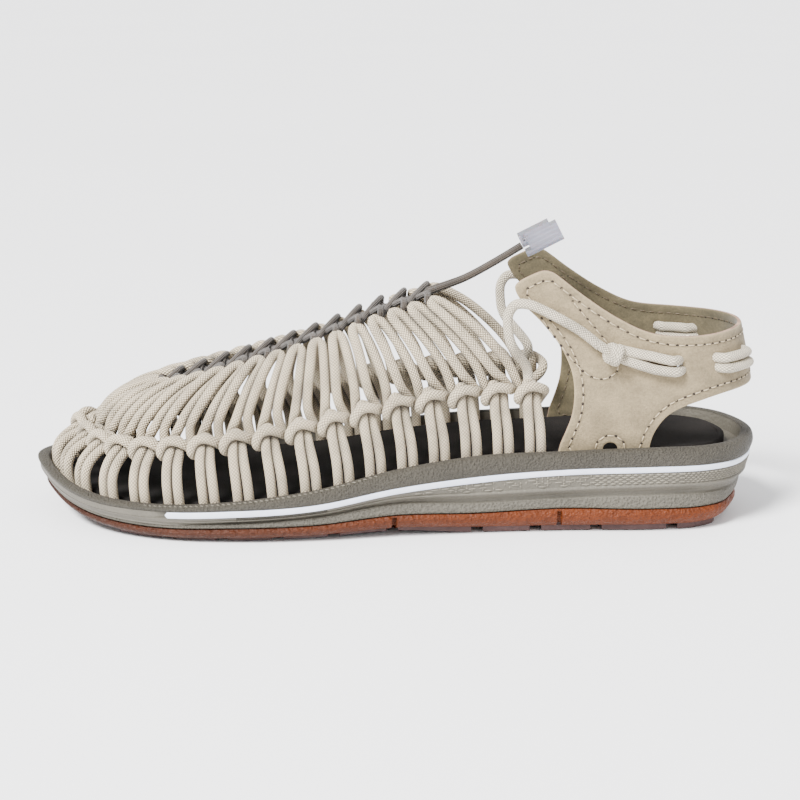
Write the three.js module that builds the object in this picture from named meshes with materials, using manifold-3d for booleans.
// A cord-woven sandal for a left foot, EU 42, standing unbent on its sole. Millimetres.
// +X points to the toe, +Y to the wearer's left and +Z up. The origin is the middle of the box, on the floor.
import * as THREE from "three";
import { mergeVertices } from "three/addons/utils/BufferGeometryUtils.js";
import Module from "manifold-3d";

const wasm = await Module();
wasm.setup();

// Driving sizes of the sole
const soleLength = 291;
const ballWidth = 105;
const heelWidth = 78;
const heelHeight = 34.5; // rim of the sole above the floor, at the heel
const undercut = 6.8; // how far the sole's side runs in from the rim to the floor, at the heel's back
const ledgeWidth = 5; // rim between the sole's side and the channel for the cords
const channelWidth = 6.6;
const channelDepth = 6;
const insoleDrop = 1.8; // insole below the rim
const stripeRelief = 0.6; // how far the stripe stands out of the side
const stripeDepth = 1.4; // depth of its groove
const treadStep = 3.2; // tread set in from the outsole's edge
const treadGap = 4.5; // width of the cuts between the lugs
const notchWidth = 1.3; // upright cuts in the outsole's side
const notchDepth = 3;

// Driving sizes of the upper
const cordDiameter = 3.9;
const loopPitch = 14.2; // between the pairs of cords, along the rim
const loopRise = 26; // height of a pair over the rim
const loopLean = 18; // how far the pairs at the toe lean in
const loopBow = 1.2;
const instepHeight = 60; // row of bights over the rim, at the throat
const lacingWidth = 25; // between the bights of both sides
const elasticDiameter = 2.5;
const tailLength = 38;
const tailTilt = 27; // degrees over the floor
const lockLength = 16;
const lockWidth = 9;
const lockHeight = 9;
const leatherThickness = 1.8;
const collarRise = 44; // top of the heel band over the rim
const heelBandHeight = 23;
const slotWidth = 3.4;
const slotHeight = 9.4;
const knotDiameter = 8;

// Gap kept between pieces that touch, and how finely round forms are cut
const clearance = 0.3;
const mergeDistance = 0.001;
const outlineSteps = 52;
const lengthSteps = 600;
const searchSteps = 30;
const cordSides = 6;
const roundSides = 8;
const chainSides = 5;

const { clamp, degToRad, lerp, smoothstep } = THREE.MathUtils;
const vec = (x, y, z) => new THREE.Vector3(x, y, z);
const up = vec(0, 0, 1);
const cordRadius = cordDiameter / 2;
const alongOf = (x) => clamp(x / soleLength + 0.5, 0, 1);
const xOf = (along) => (along - 0.5) * soleLength;

// Reads a table at any share of its first column; the columns are shares of `size`.
function reader(rows, key, size) {
  const names = Object.keys(rows[0]).filter((name) => name !== key);
  const values = rows.flatMap((row) => names.map((name) => row[name] * size));
  const curve = new THREE.CubicInterpolant(rows.map((row) => row[key]), values, names.length);
  return (share) => {
    const result = curve.evaluate(clamp(share, rows[0][key], rows.at(-1)[key]));
    return Object.fromEntries(names.map((name, i) => [name, result[i]]));
  };
}

// Closes a row of rings, each with the same number of points, into one solid.
function loft(rings) {
  const count = rings[0].length;
  const last = (rings.length - 1) * count;
  const index = [];
  for (let start = 0; start < last; start += count) {
    for (let i = 0; i < count; i++) {
      const a = start + i;
      const b = start + ((i + 1) % count);
      index.push(a, b, b + count, a, b + count, a + count);
    }
  }
  const cap = (a, b, c) => {
    index.push(a, c, b);
    index.push(last + a, last + b, last + c);
  };
  let low = 0;
  let high = count - 1;
  while (high - low >= 2) {
    cap(low, low + 1, high);
    low += 1;
    if (high - low < 2) break;
    cap(low, high - 1, high);
    high -= 1;
  }
  const positions = rings.flat().flatMap((p) => [p.x, p.y, p.z]);
  const geometry = new THREE.BufferGeometry();
  geometry.setAttribute("position", new THREE.Float32BufferAttribute(positions, 3));
  geometry.setIndex(index);
  return geometry;
}

// Joining and cutting
function solid(geometry) {
  const bare = new THREE.BufferGeometry();
  bare.setAttribute("position", geometry.getAttribute("position"));
  bare.setIndex(geometry.getIndex());
  const merged = mergeVertices(bare, mergeDistance);
  const mesh = new wasm.Mesh({
    numProp: 3,
    vertProperties: merged.getAttribute("position").array,
    triVerts: new Uint32Array(merged.getIndex().array),
  });
  return new wasm.Manifold(mesh);
}
function geometryOf(shape) {
  const mesh = shape.getMesh();
  const geometry = new THREE.BufferGeometry();
  geometry.setAttribute("position", new THREE.BufferAttribute(mesh.vertProperties, 3));
  geometry.setIndex(new THREE.BufferAttribute(mesh.triVerts, 1));
  return geometry;
}
// Joins pieces, and fills the small sealed voids that their crossings enclose
const filled = (shape) => wasm.Manifold.union(shape.decompose().filter((shell) => shell.volume() > 0));
const join = (geometries) => {
  const joined = geometryOf(filled(wasm.Manifold.union(geometries.map(solid))));
  return geometryOf(filled(solid(joined)));
};
const cut = (geometry, tools) => geometryOf(solid(geometry).subtract(wasm.Manifold.union(tools.map(solid))));

// Outline of the sole, seen from above: shares of the half width, which grows from heel to ball
const outlineRows = [
  { along: 0.028, medial: 0.62, lateral: 0.62 },
  { along: 0.076, medial: 0.885, lateral: 0.885 },
  { along: 0.155, medial: 0.985, lateral: 0.985 },
  { along: 0.258, medial: 0.985, lateral: 1 },
  { along: 0.361, medial: 0.9, lateral: 1.02 },
  { along: 0.481, medial: 0.85, lateral: 0.985 },
  { along: 0.601, medial: 0.905, lateral: 0.98 },
  { along: 0.704, medial: 0.98, lateral: 1 },
  { along: 0.797, medial: 1, lateral: 0.95 },
  { along: 0.876, medial: 0.93, lateral: 0.79 },
  { along: 0.938, medial: 0.78, lateral: 0.53 },
  { along: 0.979, medial: 0.55, lateral: 0.18 },
];
const toeTipShare = -0.19;
const waistShares = [0.3, 0.65];
const halfWidthAt = (along) => lerp(heelWidth, ballWidth, smoothstep(along, ...waistShares)) / 2;
const outlinePoint = (along, share) => vec(xOf(along), share * halfWidthAt(along), 0);
const outline = new THREE.CatmullRomCurve3(
  [
    outlinePoint(0, 0),
    ...outlineRows.map((row) => outlinePoint(row.along, -row.medial)),
    outlinePoint(1, toeTipShare),
    ...outlineRows.toReversed().map((row) => outlinePoint(row.along, row.lateral)),
  ],
  true,
);
outline.arcLengthDivisions = lengthSteps;

// A place on the rim: turn 0 is the heel's back and turns grow over the medial side to the toe.
function rimAt(turn) {
  const share = ((turn % 1) + 1) % 1;
  const point = outline.getPointAt(share);
  const ahead = outline.getTangentAt(share);
  return { point, ahead, outward: vec(ahead.y, -ahead.x, 0) };
}
// The turn where the rim passes x, on the medial (+1) or the lateral (-1) side
const toeTurnShare = 0.47;
function turnAt(x, side) {
  let low = 0;
  let high = side * toeTurnShare;
  for (let i = 0; i < searchSteps; i++) {
    const middle = (low + high) / 2;
    if (rimAt(middle).point.x < x) low = middle;
    else high = middle;
  }
  return low;
}

// Heights of the sole's lines above the floor, as shares of the heel height
const layerRows = [
  {
    along: 0, tread: 0, slab: 0.087, mid: 0.287, groove: 0.441,
    ridge: 0.565, under: 0.728, over: 0.803, rim: 1,
  },
  {
    along: 0.17, tread: 0, slab: 0.087, mid: 0.287, groove: 0.441,
    ridge: 0.565, under: 0.728, over: 0.803, rim: 1,
  },
  {
    along: 0.275, tread: 0, slab: 0.085, mid: 0.301, groove: 0.414,
    ridge: 0.53, under: 0.704, over: 0.777, rim: 0.965,
  },
  {
    along: 0.385, tread: -0.004, slab: 0.087, mid: 0.267, groove: 0.383,
    ridge: 0.499, under: 0.638, over: 0.719, rim: 0.933,
  },
  {
    along: 0.495, tread: 0.055, slab: 0.113, mid: 0.278, groove: 0.414,
    ridge: 0.487, under: 0.542, over: 0.617, rim: 0.806,
  },
  {
    along: 0.601, tread: 0.02, slab: 0.07, mid: 0.203, groove: 0.296,
    ridge: 0.348, under: 0.388, over: 0.464, rim: 0.609,
  },
  {
    along: 0.711, tread: -0.004, slab: 0.049, mid: 0.18, groove: 0.238,
    ridge: 0.284, under: 0.328, over: 0.409, rim: 0.487,
  },
  {
    along: 0.825, tread: -0.004, slab: 0.046, mid: 0.162, groove: 0.212,
    ridge: 0.255, under: 0.296, over: 0.374, rim: 0.429,
  },
  {
    along: 0.911, tread: 0.058, slab: 0.104, mid: 0.209, groove: 0.258,
    ridge: 0.296, under: 0.325, over: 0.394, rim: 0.458,
  },
  {
    along: 1, tread: 0.232, slab: 0.272, mid: 0.365, groove: 0.412,
    ridge: 0.446, under: 0.487, over: 0.551, rim: 0.62,
  },
];
const layersAt = reader(layerRows, "along", heelHeight);
const layerAt = (x, name) => Math.max(layersAt(alongOf(x))[name], 0);

// How far each line of the side lies in from the rim, as shares of the undercut
const sideRows = {
  mid: { side: 0.45, back: 1, toe: 0.9 },
  groove: { side: 0.46, back: 0.72, toe: 0.75 },
  hollow: { side: 0.5, back: 0.68, toe: 0.7 },
  ridge: { side: 0.24, back: 0.4, toe: 0.55 },
  under: { side: 0.12, back: 0.22, toe: 0.35 },
  over: { side: 0.06, back: 0.12, toe: 0.2 },
  brow: { side: 0, back: 0, toe: 0 },
  rim: { side: 0.2, back: 0.2, toe: 0.25 },
};
function sideInset(name, outward) {
  const row = sideRows[name];
  const back = clamp(-outward.x, 0, 1) ** 2;
  const toe = clamp(outward.x, 0, 1) ** 2;
  return undercut * (row.side + (row.back - row.side) * back + (row.toe - row.side) * toe);
}

// A ring of the sole: inset and height are functions of the place on the rim
function soleRing(insetAt, heightAt) {
  return Array.from({ length: outlineSteps }, (_, i) => {
    const place = rimAt(i / outlineSteps);
    const point = place.point.clone().addScaledVector(place.outward, -insetAt(place));
    return point.setZ(heightAt(point.x));
  });
}

// Outsole: a slab with a rounded side, notched, over a tread cut into lugs
const edgeShare = 0.6; // of the undercut
const edgeRows = [
  { drop: 1, inset: 0.45, back: 1.35 },
  { drop: 0.72, inset: 0.05, back: 0.5 },
  { drop: 0.3, inset: -0.12, back: -0.06 },
  { drop: 0, inset: 0.02, back: 0.02 },
];
const slabInset = (row, outward) => {
  const tip = outward.x ** 4;
  return sideInset("mid", outward) + undercut * edgeShare * lerp(row.inset, row.back, tip);
};
const slabHeight = (x, drop) => lerp(layerAt(x, "mid") - clearance, layerAt(x, "slab"), drop);
const slab = loft(
  edgeRows.map((row) => soleRing((place) => slabInset(row, place.outward), (x) => slabHeight(x, row.drop))),
);
const treadFlare = 1.36; // how much further in the tread's edge lies than the step
const treadDraft = 0.55; // how much the tread narrows towards the floor
const treadRoot = 0.2; // how far the lugs reach into the slab, as a share of its height
const treadInset = (place) => slabInset(edgeRows[0], place.outward) + treadStep - treadFlare;
const tread = loft([
  soleRing((place) => treadInset(place) + treadDraft, (x) => layerAt(x, "tread")),
  soleRing(treadInset, (x) => lerp(layerAt(x, "slab"), layerAt(x, "mid"), treadRoot)),
]);
const lugEnds = [0.122, 0.225, 0.307, 0.386, 0.5, 0.578, 0.652, 0.726, 0.8, 0.874, 0.94];
function lugCut(along) {
  const x = xOf(along);
  const depth = layerAt(x, "slab");
  const tool = new THREE.BoxGeometry(treadGap, ballWidth * 1.2, depth * 2);
  tool.translate(x, 0, 0);
  return tool;
}
// A cut that runs from heel to toe; sway is a share of the half width
const runRows = [
  { along: 0.06, sway: 0.3 },
  { along: 0.28, sway: 0.2 },
  { along: 0.5, sway: 0.3 },
  { along: 0.72, sway: 0.2 },
  { along: 0.93, sway: 0.3 },
];
const runShare = 0.8; // of the other cuts' width
function runCut(side) {
  const path = runRows.map((row) => {
    const x = xOf(row.along);
    return vec(x, side * row.sway * halfWidthAt(row.along), layerAt(x, "slab") - heelHeight / 2);
  });
  const half = (treadGap * runShare) / 2;
  const rings = path.map((p) => [
    p.clone().add(vec(0, -half, -heelHeight / 2)),
    p.clone().add(vec(0, half, -heelHeight / 2)),
    p.clone().add(vec(0, half, heelHeight / 2)),
    p.clone().add(vec(0, -half, heelHeight / 2)),
  ]);
  return loft(rings);
}
const lugs = cut(tread, [...lugEnds.map(lugCut), runCut(-1), runCut(1)]);
const notchPlaces = [0.275, 0.495];
const notchHeight = 1.4; // shares of the slab's height
const notchDrop = 0.35;
function notchCut(along, side) {
  const x = xOf(along);
  const place = rimAt(turnAt(x, side));
  const middle = lerp(layerAt(x, "mid"), layerAt(x, "slab"), 0.5);
  const height = layerAt(x, "mid") - layerAt(x, "slab");
  const tool = new THREE.BoxGeometry(notchWidth, notchDepth * 2, height * notchHeight);
  const reach = slabInset(edgeRows[2], place.outward);
  const spot = place.point.clone().addScaledVector(place.outward, -reach);
  tool.translate(spot.x, spot.y, middle - height * notchDrop);
  return tool;
}
const outsoleShape = cut(
  join([slab, lugs]),
  notchPlaces.flatMap((along) => [notchCut(along, 1), notchCut(along, -1)]),
);

// Midsole: a stepped side with the stripe's groove, a rim ledge, and a cup for the insole
const stripeShares = [0.8, 0.822]; // where the groove starts to run out, and where it ends
const leastGroove = 0.05;
const hollowShare = 0.55;
const browShare = 0.7;
function stripeGroove(x) {
  const along = alongOf(x);
  return leastGroove + stripeDepth * (1 - smoothstep(along, ...stripeShares));
}
const midsoleRing = (name, height, extra = () => 0) =>
  soleRing((place) => sideInset(name, place.outward) + extra(place.point.x), height);
const floorHeight = (x) => layerAt(x, "rim") - channelDepth;
const midsoleShape = loft([
  midsoleRing("mid", (x) => layerAt(x, "mid")),
  midsoleRing("groove", (x) => layerAt(x, "groove")),
  midsoleRing("hollow", (x) => lerp(layerAt(x, "groove"), layerAt(x, "ridge"), hollowShare)),
  midsoleRing("ridge", (x) => layerAt(x, "ridge")),
  midsoleRing("under", (x) => layerAt(x, "under")),
  midsoleRing("under", (x) => layerAt(x, "under"), stripeGroove),
  midsoleRing("over", (x) => layerAt(x, "over"), stripeGroove),
  midsoleRing("over", (x) => layerAt(x, "over")),
  midsoleRing("brow", (x) => lerp(layerAt(x, "over"), layerAt(x, "rim"), browShare)),
  midsoleRing("rim", (x) => layerAt(x, "rim")),
  soleRing(() => ledgeWidth, (x) => layerAt(x, "rim")),
  soleRing(() => ledgeWidth, floorHeight),
]);

// Stripe: a raised bead that lies in its groove, from the outer side round the heel to the inner side
const stripeTaper = 0.4;
const beadRows = [
  { height: 1, out: 0.5 },
  { height: 0.6, out: 1 },
  { height: 0, out: 0.6 },
];
function stripeRing(turn) {
  const place = rimAt(turn);
  const x = place.point.x;
  const low = layerAt(x, "under") + clearance;
  const high = layerAt(x, "over") - clearance;
  const face = sideInset("under", place.outward);
  const point = (depth, z) => place.point.clone().addScaledVector(place.outward, -depth).setZ(z);
  const inner = face + stripeDepth - clearance;
  return [
    point(inner, low),
    point(inner - stripeTaper, high),
    ...beadRows.map((row) => point(face - stripeRelief * row.out, lerp(low, high, row.height))),
  ];
}
const stripeTurns = [1, -1].map((side) => turnAt(xOf(stripeShares[0]), side));
const stripeFirst = Math.ceil(stripeTurns[1] * outlineSteps);
const stripeLast = Math.floor(stripeTurns[0] * outlineSteps);
const stripeCount = stripeLast - stripeFirst + 1;
const stripeShape = loft(
  Array.from({ length: stripeCount }, (_, i) => stripeRing((stripeFirst + i) / outlineSteps)),
);

// Insole: a footbed inside the channel
const insoleInset = ledgeWidth + channelWidth;
const insoleTop = (x) => layerAt(x, "rim") - insoleDrop;
const insoleChamfer = { height: 0.8, width: 1.2 };
const insoleShape = loft([
  soleRing(() => insoleInset, (x) => floorHeight(x) + clearance),
  soleRing(() => insoleInset, (x) => insoleTop(x) - insoleChamfer.height),
  soleRing(() => insoleInset + insoleChamfer.width, insoleTop),
]);

// Woven upper: pairs of cords out of the channel, a bight hooked over each, and long bights up to the lacing
const channelShare = 0.54;
const cordInset = ledgeWidth + channelWidth * channelShare;
const loopShare = 0.306; // where the weave starts
const loopTurns = [turnAt(xOf(loopShare), 1), 1 + turnAt(xOf(loopShare), -1)];
const rimLength = outline.getLength() * (loopTurns[1] - loopTurns[0]);
const loopCount = Math.round(rimLength / loopPitch / 2) * 2 + 1;
const loopRows = [
  { along: 0.3, rise: 1, lean: 0.36, ahead: 0.1 },
  { along: 0.5, rise: 0.98, lean: 0.46, ahead: 0.16 },
  { along: 0.7, rise: 0.9, lean: 0.62, ahead: 0.16 },
  { along: 0.85, rise: 0.78, lean: 0.82, ahead: 0.1 },
  { along: 1, rise: 0.6, lean: 1, ahead: 0 },
];
const riseAt = reader(loopRows, "along", 1);

// The frame of one pair: where it leaves the sole and where the bight hooks over it
function pairAt(turn) {
  const place = rimAt(turn);
  const row = riseAt(alongOf(place.point.x));
  const toeward = place.ahead.clone().multiplyScalar(turn < 0.5 ? 1 : -1);
  const foot = place.point.clone().addScaledVector(place.outward, -cordInset);
  foot.setZ(layerAt(foot.x, "rim"));
  const spot = (rise, lean, ahead) =>
    foot
      .clone()
      .addScaledVector(up, rise * row.rise * loopRise)
      .addScaledVector(place.outward, -lean * row.lean * loopLean)
      .addScaledVector(toeward, ahead * row.ahead * loopRise);
  return { foot, spot, toeward, ahead: place.ahead, outward: place.outward };
}
const pairs = Array.from({ length: loopCount }, (_, i) => pairAt(lerp(...loopTurns, i / (loopCount - 1))));

// Sections of a doubled cord, in cord radii: out is measured from the middle of each cord
const fullSection = [
  { side: 1, out: 1, thick: -0.3 },
  { side: 1, out: 0, thick: 1 },
  { side: 0, out: 0, thick: 0.62 },
  { side: -1, out: 0, thick: 1 },
  { side: -1, out: 1, thick: -0.3 },
  { side: 0, out: 0, thick: -1 },
];
const flatSection = [
  { side: 1, out: 1, thick: -1 },
  { side: 1, out: 0.6, thick: 1 },
  { side: -1, out: 0.6, thick: 1 },
  { side: -1, out: 1, thick: -1 },
];

// A doubled cord lofted along points, its two cords side by side across `side`
function doubleCord(points, sideOf, spreadOf, section = fullSection) {
  const path = new THREE.CatmullRomCurve3(points);
  return loft(
    points.map((point, i) => {
      const share = i / (points.length - 1);
      const forward = path.getTangent(share);
      const side = sideOf(share).clone().addScaledVector(forward, -sideOf(share).dot(forward)).normalize();
      const thick = forward.clone().cross(side);
      const spread = spreadOf(share);
      return section.map((row) =>
        point
          .clone()
          .addScaledVector(side, row.side * (spread + row.out * cordRadius))
          .addScaledVector(thick, row.thick * cordRadius),
      );
    }),
  );
}

// A round cord of few sides along points
function cord(points, diameter, steps, sides = cordSides) {
  const section = new THREE.Shape(
    Array.from({ length: sides }, (_, i) => {
      const angle = (i / sides) * 2 * Math.PI;
      return new THREE.Vector2(Math.cos(angle), Math.sin(angle)).multiplyScalar(diameter / 2);
    }),
  );
  const path = new THREE.CatmullRomCurve3(points);
  return new THREE.ExtrudeGeometry(section, { steps, bevelEnabled: false, extrudePath: path });
}

// A pair of cords from the channel up: shares of its rise, lean and lead, and of the bow
const pairRows = [
  { rise: 0.38, lean: 0, lead: 0.3, bow: 1 },
  { rise: 0.72, lean: 0.42, lead: 0.72, bow: 0.6 },
  { rise: 1, lean: 1, lead: 1, bow: 0 },
];
const pairSpread = { foot: 1.1, top: 0.5 }; // in cord radii
function solePair(pair) {
  const points = pairRows.map((row) =>
    pair.spot(row.rise, row.lean, row.lead).addScaledVector(pair.outward, row.bow * loopBow),
  );
  points.unshift(pair.spot(0, 0, 0).setZ(pair.foot.z - channelDepth + clearance * 3));
  const spreadOf = (share) => lerp(pairSpread.foot, pairSpread.top, share) * cordRadius;
  return doubleCord(points, () => pair.ahead, spreadOf);
}

// One cord runs along both sides: in front of each pair and behind the gap between two pairs.
// Its points at a pair, in shares of the cord's diameter
const hookRows = [
  { toeward: -1.7, outward: 0.05, up: -0.35 },
  { toeward: -0.75, outward: 0.84, up: -0.1 },
  { toeward: 0.7, outward: 0.84, up: 0.25 },
  { toeward: 1.45, outward: 0.05, up: 0.1 },
];
const hookSteps = 5;
const hookBehind = 0.95;
const hookPlace = { rise: 0.86, lean: 0.66, lead: 0.86, bow: 0.3 };
const hookSpot = (pair) => pair.spot(hookPlace.rise, hookPlace.lean, hookPlace.lead);
const hookMiddle = (pair) => hookSpot(pair).addScaledVector(pair.outward, loopBow * hookPlace.bow);
function hookPoints(pair, i) {
  const middle = hookMiddle(pair);
  const points = hookRows.map((row) =>
    middle
      .clone()
      .addScaledVector(pair.toeward, row.toeward * cordDiameter)
      .addScaledVector(pair.outward, row.outward * cordDiameter)
      .addScaledVector(up, row.up * cordDiameter),
  );
  if (i > loopCount / 2) points.reverse();
  const next = pairs[i + 1];
  if (!next) return points;
  const between = middle.clone().lerp(hookMiddle(next), 0.5);
  return [...points, between.addScaledVector(pair.outward, -hookBehind * cordDiameter)];
}
const hookChain = cord(pairs.flatMap(hookPoints), cordDiameter, loopCount * hookSteps, chainSides);

// Row of bights beside the lacing, from the throat's medial side round the toe end to its lateral side
const lacingRows = [
  { along: 0.44, half: 1.06, height: 1, sway: -0.04 },
  { along: 0.515, half: 1.04, height: 0.95, sway: -0.08 },
  { along: 0.6, half: 1, height: 0.865, sway: -0.14 },
  { along: 0.69, half: 1, height: 0.775, sway: -0.22 },
  { along: 0.765, half: 0.94, height: 0.69, sway: -0.28 },
  { along: 0.808, half: 0.6, height: 0.645, sway: -0.3 },
];
const lacingEnd = { along: 0.825, height: 0.62, sway: -0.31 };
function lacingPoint(row, side) {
  const x = xOf(row.along);
  const half = (side * (row.half ?? 0) + row.sway) * (lacingWidth / 2);
  return vec(x, half, layerAt(x, "rim") + row.height * instepHeight);
}
const lacingCurve = new THREE.CatmullRomCurve3([
  ...lacingRows.map((row) => lacingPoint(row, -1)),
  lacingPoint(lacingEnd, 0),
  ...lacingRows.toReversed().map((row) => lacingPoint(row, 1)),
]);
// A long bight from behind two hooks to the lacing: shares of its reach, and how far it swells outwards
const bightRows = [
  { reach: 0, swell: 0 },
  { reach: 0.25, swell: 0.8 },
  { reach: 0.62, swell: 0.95 },
  { reach: 1, swell: 0 },
];
const bightBow = 0.13;
const bightBehind = 0.75; // in cord diameters
const bightSink = 0.2;
const bightSpread = { foot: 0.1, top: 0.7 }; // in cord radii
function vampBight(i) {
  const base = hookSpot(pairs[i]).lerp(hookSpot(pairs[i + 1]), 0.5);
  const outward = pairs[i].outward.clone().add(pairs[i + 1].outward).normalize();
  base.addScaledVector(outward, -cordDiameter * bightBehind);
  const end = lacingCurve.getPointAt((i + 0.5) / (loopCount - 1));
  const swell = outward.clone().add(up).normalize().multiplyScalar(end.distanceTo(base) * bightBow);
  const points = bightRows.map((row) => base.clone().lerp(end, row.reach).addScaledVector(swell, row.swell));
  points[0].addScaledVector(up, -cordDiameter * bightSink);
  const rise = end.clone().sub(base).normalize();
  const across = rise.clone().cross(outward.clone().add(up)).normalize();
  const spreadOf = (share) => lerp(bightSpread.foot, bightSpread.top, share) * cordRadius;
  return doubleCord(points, () => across, spreadOf, flatSection);
}
const wovenShape = join([
  ...pairs.map(solePair),
  hookChain,
  ...pairs.slice(1).map((_, i) => vampBight(i)),
]);

// Elastic: crosses between the two rows of bights, and its two ends run up to the lock
const crossings = 13;
const lacingMiddle = (share) => {
  const medial = lacingCurve.getPointAt(0.5 - share / 2);
  const lateral = lacingCurve.getPointAt(0.5 + share / 2);
  return { medial, lateral };
};
const elasticRadius = elasticDiameter / 2;
const elasticReach = cordRadius + elasticRadius + clearance;
const elasticShares = [0.22, 0.985];
const crossingSteps = 3;
const elasticPoints = Array.from({ length: crossings + 1 }, (_, i) => {
  const { medial, lateral } = lacingMiddle(lerp(...elasticShares, Math.min(i / (crossings - 1), 1)));
  const [from, to] = i % 2 ? [medial, lateral] : [lateral, medial];
  const width = from.distanceTo(to);
  return from.lerp(to, elasticReach / width);
});
const elasticShape = cord(elasticPoints, elasticDiameter, crossings * crossingSteps);

const tailAngle = degToRad(tailTilt);
const tailAhead = vec(-Math.cos(tailAngle), 0, Math.sin(tailAngle));
const lastBar = elasticPoints.at(-1).clone().lerp(elasticPoints.at(-2), 0.5);
const tailFoot = lastBar.addScaledVector(tailAhead, elasticRadius + clearance * 2);
const tailGap = elasticDiameter + clearance;
const tailRows = [
  { width: 1.6, sag: 0 },
  { width: 1.1, sag: 0.04 },
  { width: 1, sag: 0.03 },
  { width: 1, sag: 0 },
];
const tailSteps = 6;
function tailStrand(side) {
  const points = tailRows.map((row, i) => {
    const share = i / (tailRows.length - 1);
    const point = tailFoot.clone().addScaledVector(tailAhead, tailLength * share);
    return point.add(vec(0, (side * row.width * tailGap) / 2, -row.sag * tailLength));
  });
  return cord(points, elasticDiameter, tailSteps, roundSides);
}

// Cord lock: a clear block with a yoke slot at the cords' end and a step at the free end
const yokeCut = { length: 4.8, height: 2.2, drop: 1.45 };
const stepCut = { length: 5.4, height: 3.6 };
const boreCut = { radius: 0.8, along: 6.4, rise: 2.5 };
const cutWidth = lockWidth * 2;
function lockBlock() {
  const body = new THREE.BoxGeometry(lockLength, lockWidth, lockHeight);
  const yoke = new THREE.BoxGeometry(yokeCut.length, cutWidth, yokeCut.height);
  yoke.translate(lockLength / 2, 0, -yokeCut.drop);
  const step = new THREE.BoxGeometry(stepCut.length, cutWidth, stepCut.height);
  step.translate(-lockLength / 2, 0, lockHeight / 2);
  const bore = new THREE.CylinderGeometry(boreCut.radius, boreCut.radius, cutWidth, cordSides);
  bore.translate(boreCut.along, 0, boreCut.rise);
  return cut(body, [yoke, step, bore]);
}

// Heel strap: a leather wall round the heel, in tables of its rise over the rim
const wallRows = [
  { rise: -0.14, half: 0.8, back: 0 },
  { rise: 0, half: 0.8, back: 0.02 },
  { rise: 0.45, half: 0.86, back: 0.05 },
  { rise: 1, half: 0.82, back: 0.19 },
  { rise: 1.36, half: 0.757, back: 0.29 },
  { rise: 1.7, half: 0.7, back: 0.37 },
];
const wallAt = reader(wallRows, "rise", 1);
const wallRound = 0.82; // length of the round heel part, as a share of half the heel width
const wallTaper = 0.04;
const wallShare = 1.66; // length of each side of the wall, as a share of the heel width
const backDepth = collarRise * 0.8;

// A place on the wall: reach is its distance from the heel's back along the wall
function wallPlace(reach, rise, side) {
  const row = wallAt(rise / collarRise);
  const half = (row.half * heelWidth) / 2;
  const long = (wallRound * heelWidth) / 2;
  const start = xOf(0) + row.back * backDepth + leatherThickness * 0.5;
  const arc = (Math.PI / 2) * Math.sqrt((half ** 2 + long ** 2) / 2);
  const z = heelHeight + rise;
  if (reach < arc) {
    const angle = (reach / arc) * (Math.PI / 2);
    const point = vec(start + long * (1 - Math.cos(angle)), side * half * Math.sin(angle), z);
    const outward = vec(-half * Math.cos(angle), side * long * Math.sin(angle), 0).normalize();
    return { point, outward };
  }
  const run = reach - arc;
  const point = vec(start + long + run, side * (half - run * wallTaper), z);
  return { point, outward: vec(wallTaper, side, 0).normalize() };
}
const wallSpot = (reach, rise, side, offset) => {
  const place = wallPlace(reach, rise, side);
  return place.point.addScaledVector(place.outward, offset);
};
const wallReach = heelWidth * wallShare;
const wallSteps = 14;
const wallRises = [-0.11, 0, 0.22, 0.45, 0.7, 1, 1.2, 1.45, 1.65].map((share) => share * collarRise);
function wallSheet() {
  const reaches = Array.from({ length: wallSteps * 2 + 1 }, (_, i) => (i / wallSteps - 1) * wallReach);
  const ring = (reach) => {
    const side = reach < 0 ? -1 : 1;
    const distance = Math.abs(reach);
    const half = leatherThickness / 2;
    const outer = wallRises.map((rise) => wallSpot(distance, rise, side, half));
    const inner = wallRises.toReversed().map((rise) => wallSpot(distance, rise, side, -half));
    return [...inner, ...outer];
  };
  return loft(reaches.map(ring));
}

// Outline of the strap from the side: along is a share of the sole length, rise a share of the collar's
const strapOutline = [
  { along: -0.06, rise: 1 },
  { along: 0.018, rise: 1 },
  { along: 0.096, rise: 0.985 },
  { along: 0.158, rise: 1.02 },
  { along: 0.206, rise: 1.16 },
  { along: 0.251, rise: 1.34 },
  { along: 0.289, rise: 1.49 },
  { along: 0.314, rise: 1.53 },
  { along: 0.328, rise: 1.43 },
  { along: 0.323, rise: 1.3 },
  { along: 0.302, rise: 1.14 },
  { along: 0.275, rise: 0.89 },
  { along: 0.26, rise: 0.61 },
  { along: 0.26, rise: 0.3 },
  { along: 0.275, rise: 0 },
];
const strapFoot = [0.28, 0.158];
const strapUnder = [
  { along: 0.151, rise: 0.11 },
  { along: 0.131, rise: 0.3 },
  { along: 0.096, rise: 0.41 },
  { along: 0.041, rise: 1 - heelBandHeight / collarRise },
  { along: -0.06, rise: 1 - heelBandHeight / collarRise },
];
const footRise = -channelDepth + clearance * 2;
const curveSegments = 3;
function strapCutter() {
  const point = (row) => new THREE.Vector2(xOf(row.along), heelHeight + row.rise * collarRise);
  const foot = strapFoot.map((along) => {
    const x = xOf(along);
    return new THREE.Vector2(x, layerAt(x, "rim") + footRise);
  });
  const shape = new THREE.Shape();
  shape.moveTo(...point(strapOutline[0]).toArray());
  shape.splineThru(strapOutline.slice(1).map(point));
  shape.lineTo(...foot[0].toArray());
  shape.lineTo(...foot[1].toArray());
  shape.splineThru(strapUnder.map(point));
  const width = heelWidth * 2;
  const tool = new THREE.ExtrudeGeometry(shape, { depth: width, bevelEnabled: false, curveSegments });
  tool.rotateX(Math.PI / 2);
  tool.translate(0, width / 2, 0);
  return tool;
}

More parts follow.
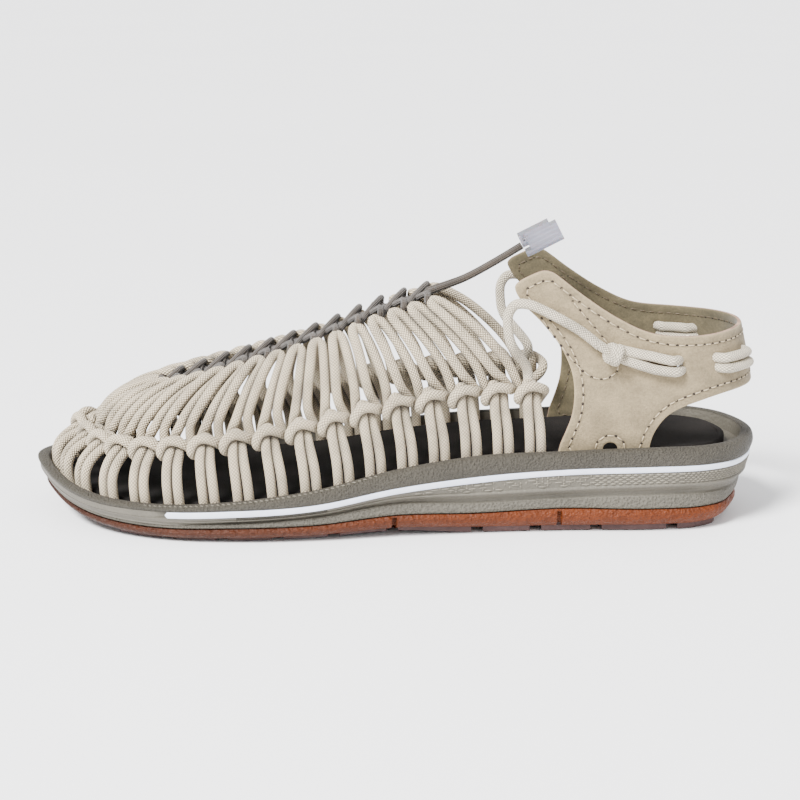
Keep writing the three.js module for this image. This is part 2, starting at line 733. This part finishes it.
// The doubled cord that runs in and out of the strap: reach and rise of its slots and its knot
const slotReaches = [0.18, 0.423, 0.628].map((share) => share * heelWidth);
const slotShare = 0.74;
const slotRise = collarRise * slotShare;
const knotShares = { reach: 0.94, rise: 0.86 };
const knotSpot = { reach: heelWidth * knotShares.reach, rise: collarRise * knotShares.rise };
function slotCut(reach, side) {
  const place = wallPlace(reach, slotRise, side);
  const tool = new THREE.BoxGeometry(slotWidth, leatherThickness * 4, slotHeight);
  tool.rotateZ(Math.atan2(place.outward.y, place.outward.x) - Math.PI / 2);
  tool.translate(place.point.x, place.point.y, place.point.z);
  return tool;
}
const bothSides = [-1, 1];
const strapSolid = solid(wallSheet())
  .intersect(solid(strapCutter()))
  .subtract(
    wasm.Manifold.union(
      bothSides.flatMap((side) => slotReaches.map((reach) => solid(slotCut(reach, side)))),
    ),
  );
const strapShape = geometryOf(strapSolid);

// Draw cord on the wall: offset is outside (+1) or inside (-1) the leather
const drawOffset = leatherThickness / 2 + cordRadius + clearance * 2;
function drawRun(stops, offset) {
  const points = stops.map((stop) =>
    wallSpot(Math.abs(stop.reach), stop.rise, stop.reach < 0 ? -1 : 1, offset * drawOffset),
  );
  return doubleCord(points, () => up, () => cordRadius);
}
const slotGap = slotWidth / 2;
function runBetween(from, to, count) {
  return Array.from({ length: count }, (_, i) => {
    const reach = lerp(from, to, i / (count - 1));
    return { reach, rise: slotRise };
  });
}
const heelRun = drawRun(runBetween(-slotReaches[0] + slotGap, slotReaches[0] - slotGap, 5), -1);
function outerRun(side) {
  return drawRun(runBetween(side * slotReaches[0], side * slotReaches[1], 4), 1);
}
function innerRun(side) {
  return drawRun(runBetween(side * slotReaches[1], side * slotReaches[2], 4), -1);
}
const knotBend = 1.5;
function knotRun(side) {
  const end = knotSpot.reach - knotDiameter / 2 - clearance;
  const stops = [0, 1 / 3, 2 / 3, 1].map((share) => ({
    reach: side * lerp(slotReaches[2], end, share),
    rise: lerp(slotRise, knotSpot.rise, share ** knotBend),
  }));
  return drawRun(stops, 1);
}
const knotOffset = leatherThickness / 2 + clearance + knotDiameter / 2;
function knotBall(side) {
  const ball = new THREE.SphereGeometry(knotDiameter / 2, roundSides + 2, roundSides);
  const spot = wallSpot(knotSpot.reach, knotSpot.rise, side, knotOffset);
  return ball.translate(spot.x, spot.y, spot.z);
}

// From the knot one cord runs down the arm's edge, turns over its end and reaches the first bight.
const endRows = [
  { reach: 1.21, rise: 1.1, out: 1 },
  { reach: 1.35, rise: 1.21, out: 1 },
  { reach: 1.47, rise: 1.24, out: 1.15 },
  { reach: 1.545, rise: 1.12, out: 1.1 },
  { reach: 1.555, rise: 0.95, out: 1 },
];
const endStart = { lift: 2.2, out: 1.2 };
const hookEnd = { rise: 1.1, lean: 0.7, lead: 1, back: 1.6, lift: 0.7 };
const endSteps = 17;
function drawEnd(side) {
  const start = knotSpot.reach + knotDiameter / 2 + clearance * 2;
  const first = wallSpot(start, knotSpot.rise + endStart.lift, side, drawOffset * endStart.out);
  const points = endRows.map((row) =>
    wallSpot(row.reach * heelWidth, row.rise * collarRise, side, drawOffset * row.out),
  );
  const hookPair = pairs[side < 0 ? 0 : loopCount - 1];
  const last = hookPair.spot(hookEnd.rise, hookEnd.lean, hookEnd.lead);
  last.addScaledVector(hookPair.toeward, -cordDiameter * hookEnd.back);
  last.addScaledVector(up, cordDiameter * hookEnd.lift);
  return cord([first, ...points, last], cordDiameter, endSteps, roundSides);
}

// Assembly: one named mesh for each piece
const paint = (color, roughness) => new THREE.MeshStandardMaterial({ color, roughness, metalness: 0 });
const looks = {
  gum: () => paint(0xb4623a, 0.5),
  foam: () => paint(0x96928a, 0.75),
  stripe: () => paint(0xe8ecf4, 0.4),
  insole: () => paint(0x23201e, 0.85),
  cord: () => paint(0xd8d0c2, 0.8),
  leather: () => paint(0xc6bba8, 0.9),
  elastic: () => paint(0x7a7066, 0.8),
  clear: () => paint(0xcfd0d8, 0.25),
};
const sandal = new THREE.Group();
function place(name, geometry, material) {
  const mesh = new THREE.Mesh(geometry, material);
  mesh.name = name;
  sandal.add(mesh);
  return mesh;
}
place("outsole", outsoleShape, looks.gum());
place("midsole", midsoleShape, looks.foam());
place("side_stripe", stripeShape, looks.stripe());
place("insole", insoleShape, looks.insole());
place("woven_upper", wovenShape, looks.cord());
place("heel_strap", strapShape, looks.leather());
place("elastic_lacing", elasticShape, looks.elastic());
place("elastic_end_medial", tailStrand(-1), looks.elastic());
place("elastic_end_lateral", tailStrand(1), looks.elastic());
const lock = place("cord_lock", lockBlock(), looks.clear());
lock.rotation.y = tailAngle;
lock.position.copy(tailFoot).addScaledVector(tailAhead, tailLength + clearance + lockLength / 2);
place("draw_cord_heel", heelRun, looks.cord());
for (const side of bothSides) {
  const word = side < 0 ? "medial" : "lateral";
  place(`draw_cord_outer_${word}`, outerRun(side), looks.cord());
  place(`draw_cord_inner_${word}`, innerRun(side), looks.cord());
  place(`draw_cord_front_${word}`, knotRun(side), looks.cord());
  place(`draw_cord_knot_${word}`, knotBall(side), looks.cord());
  place(`draw_cord_end_${word}`, drawEnd(side), looks.cord());
}

export default sandal;
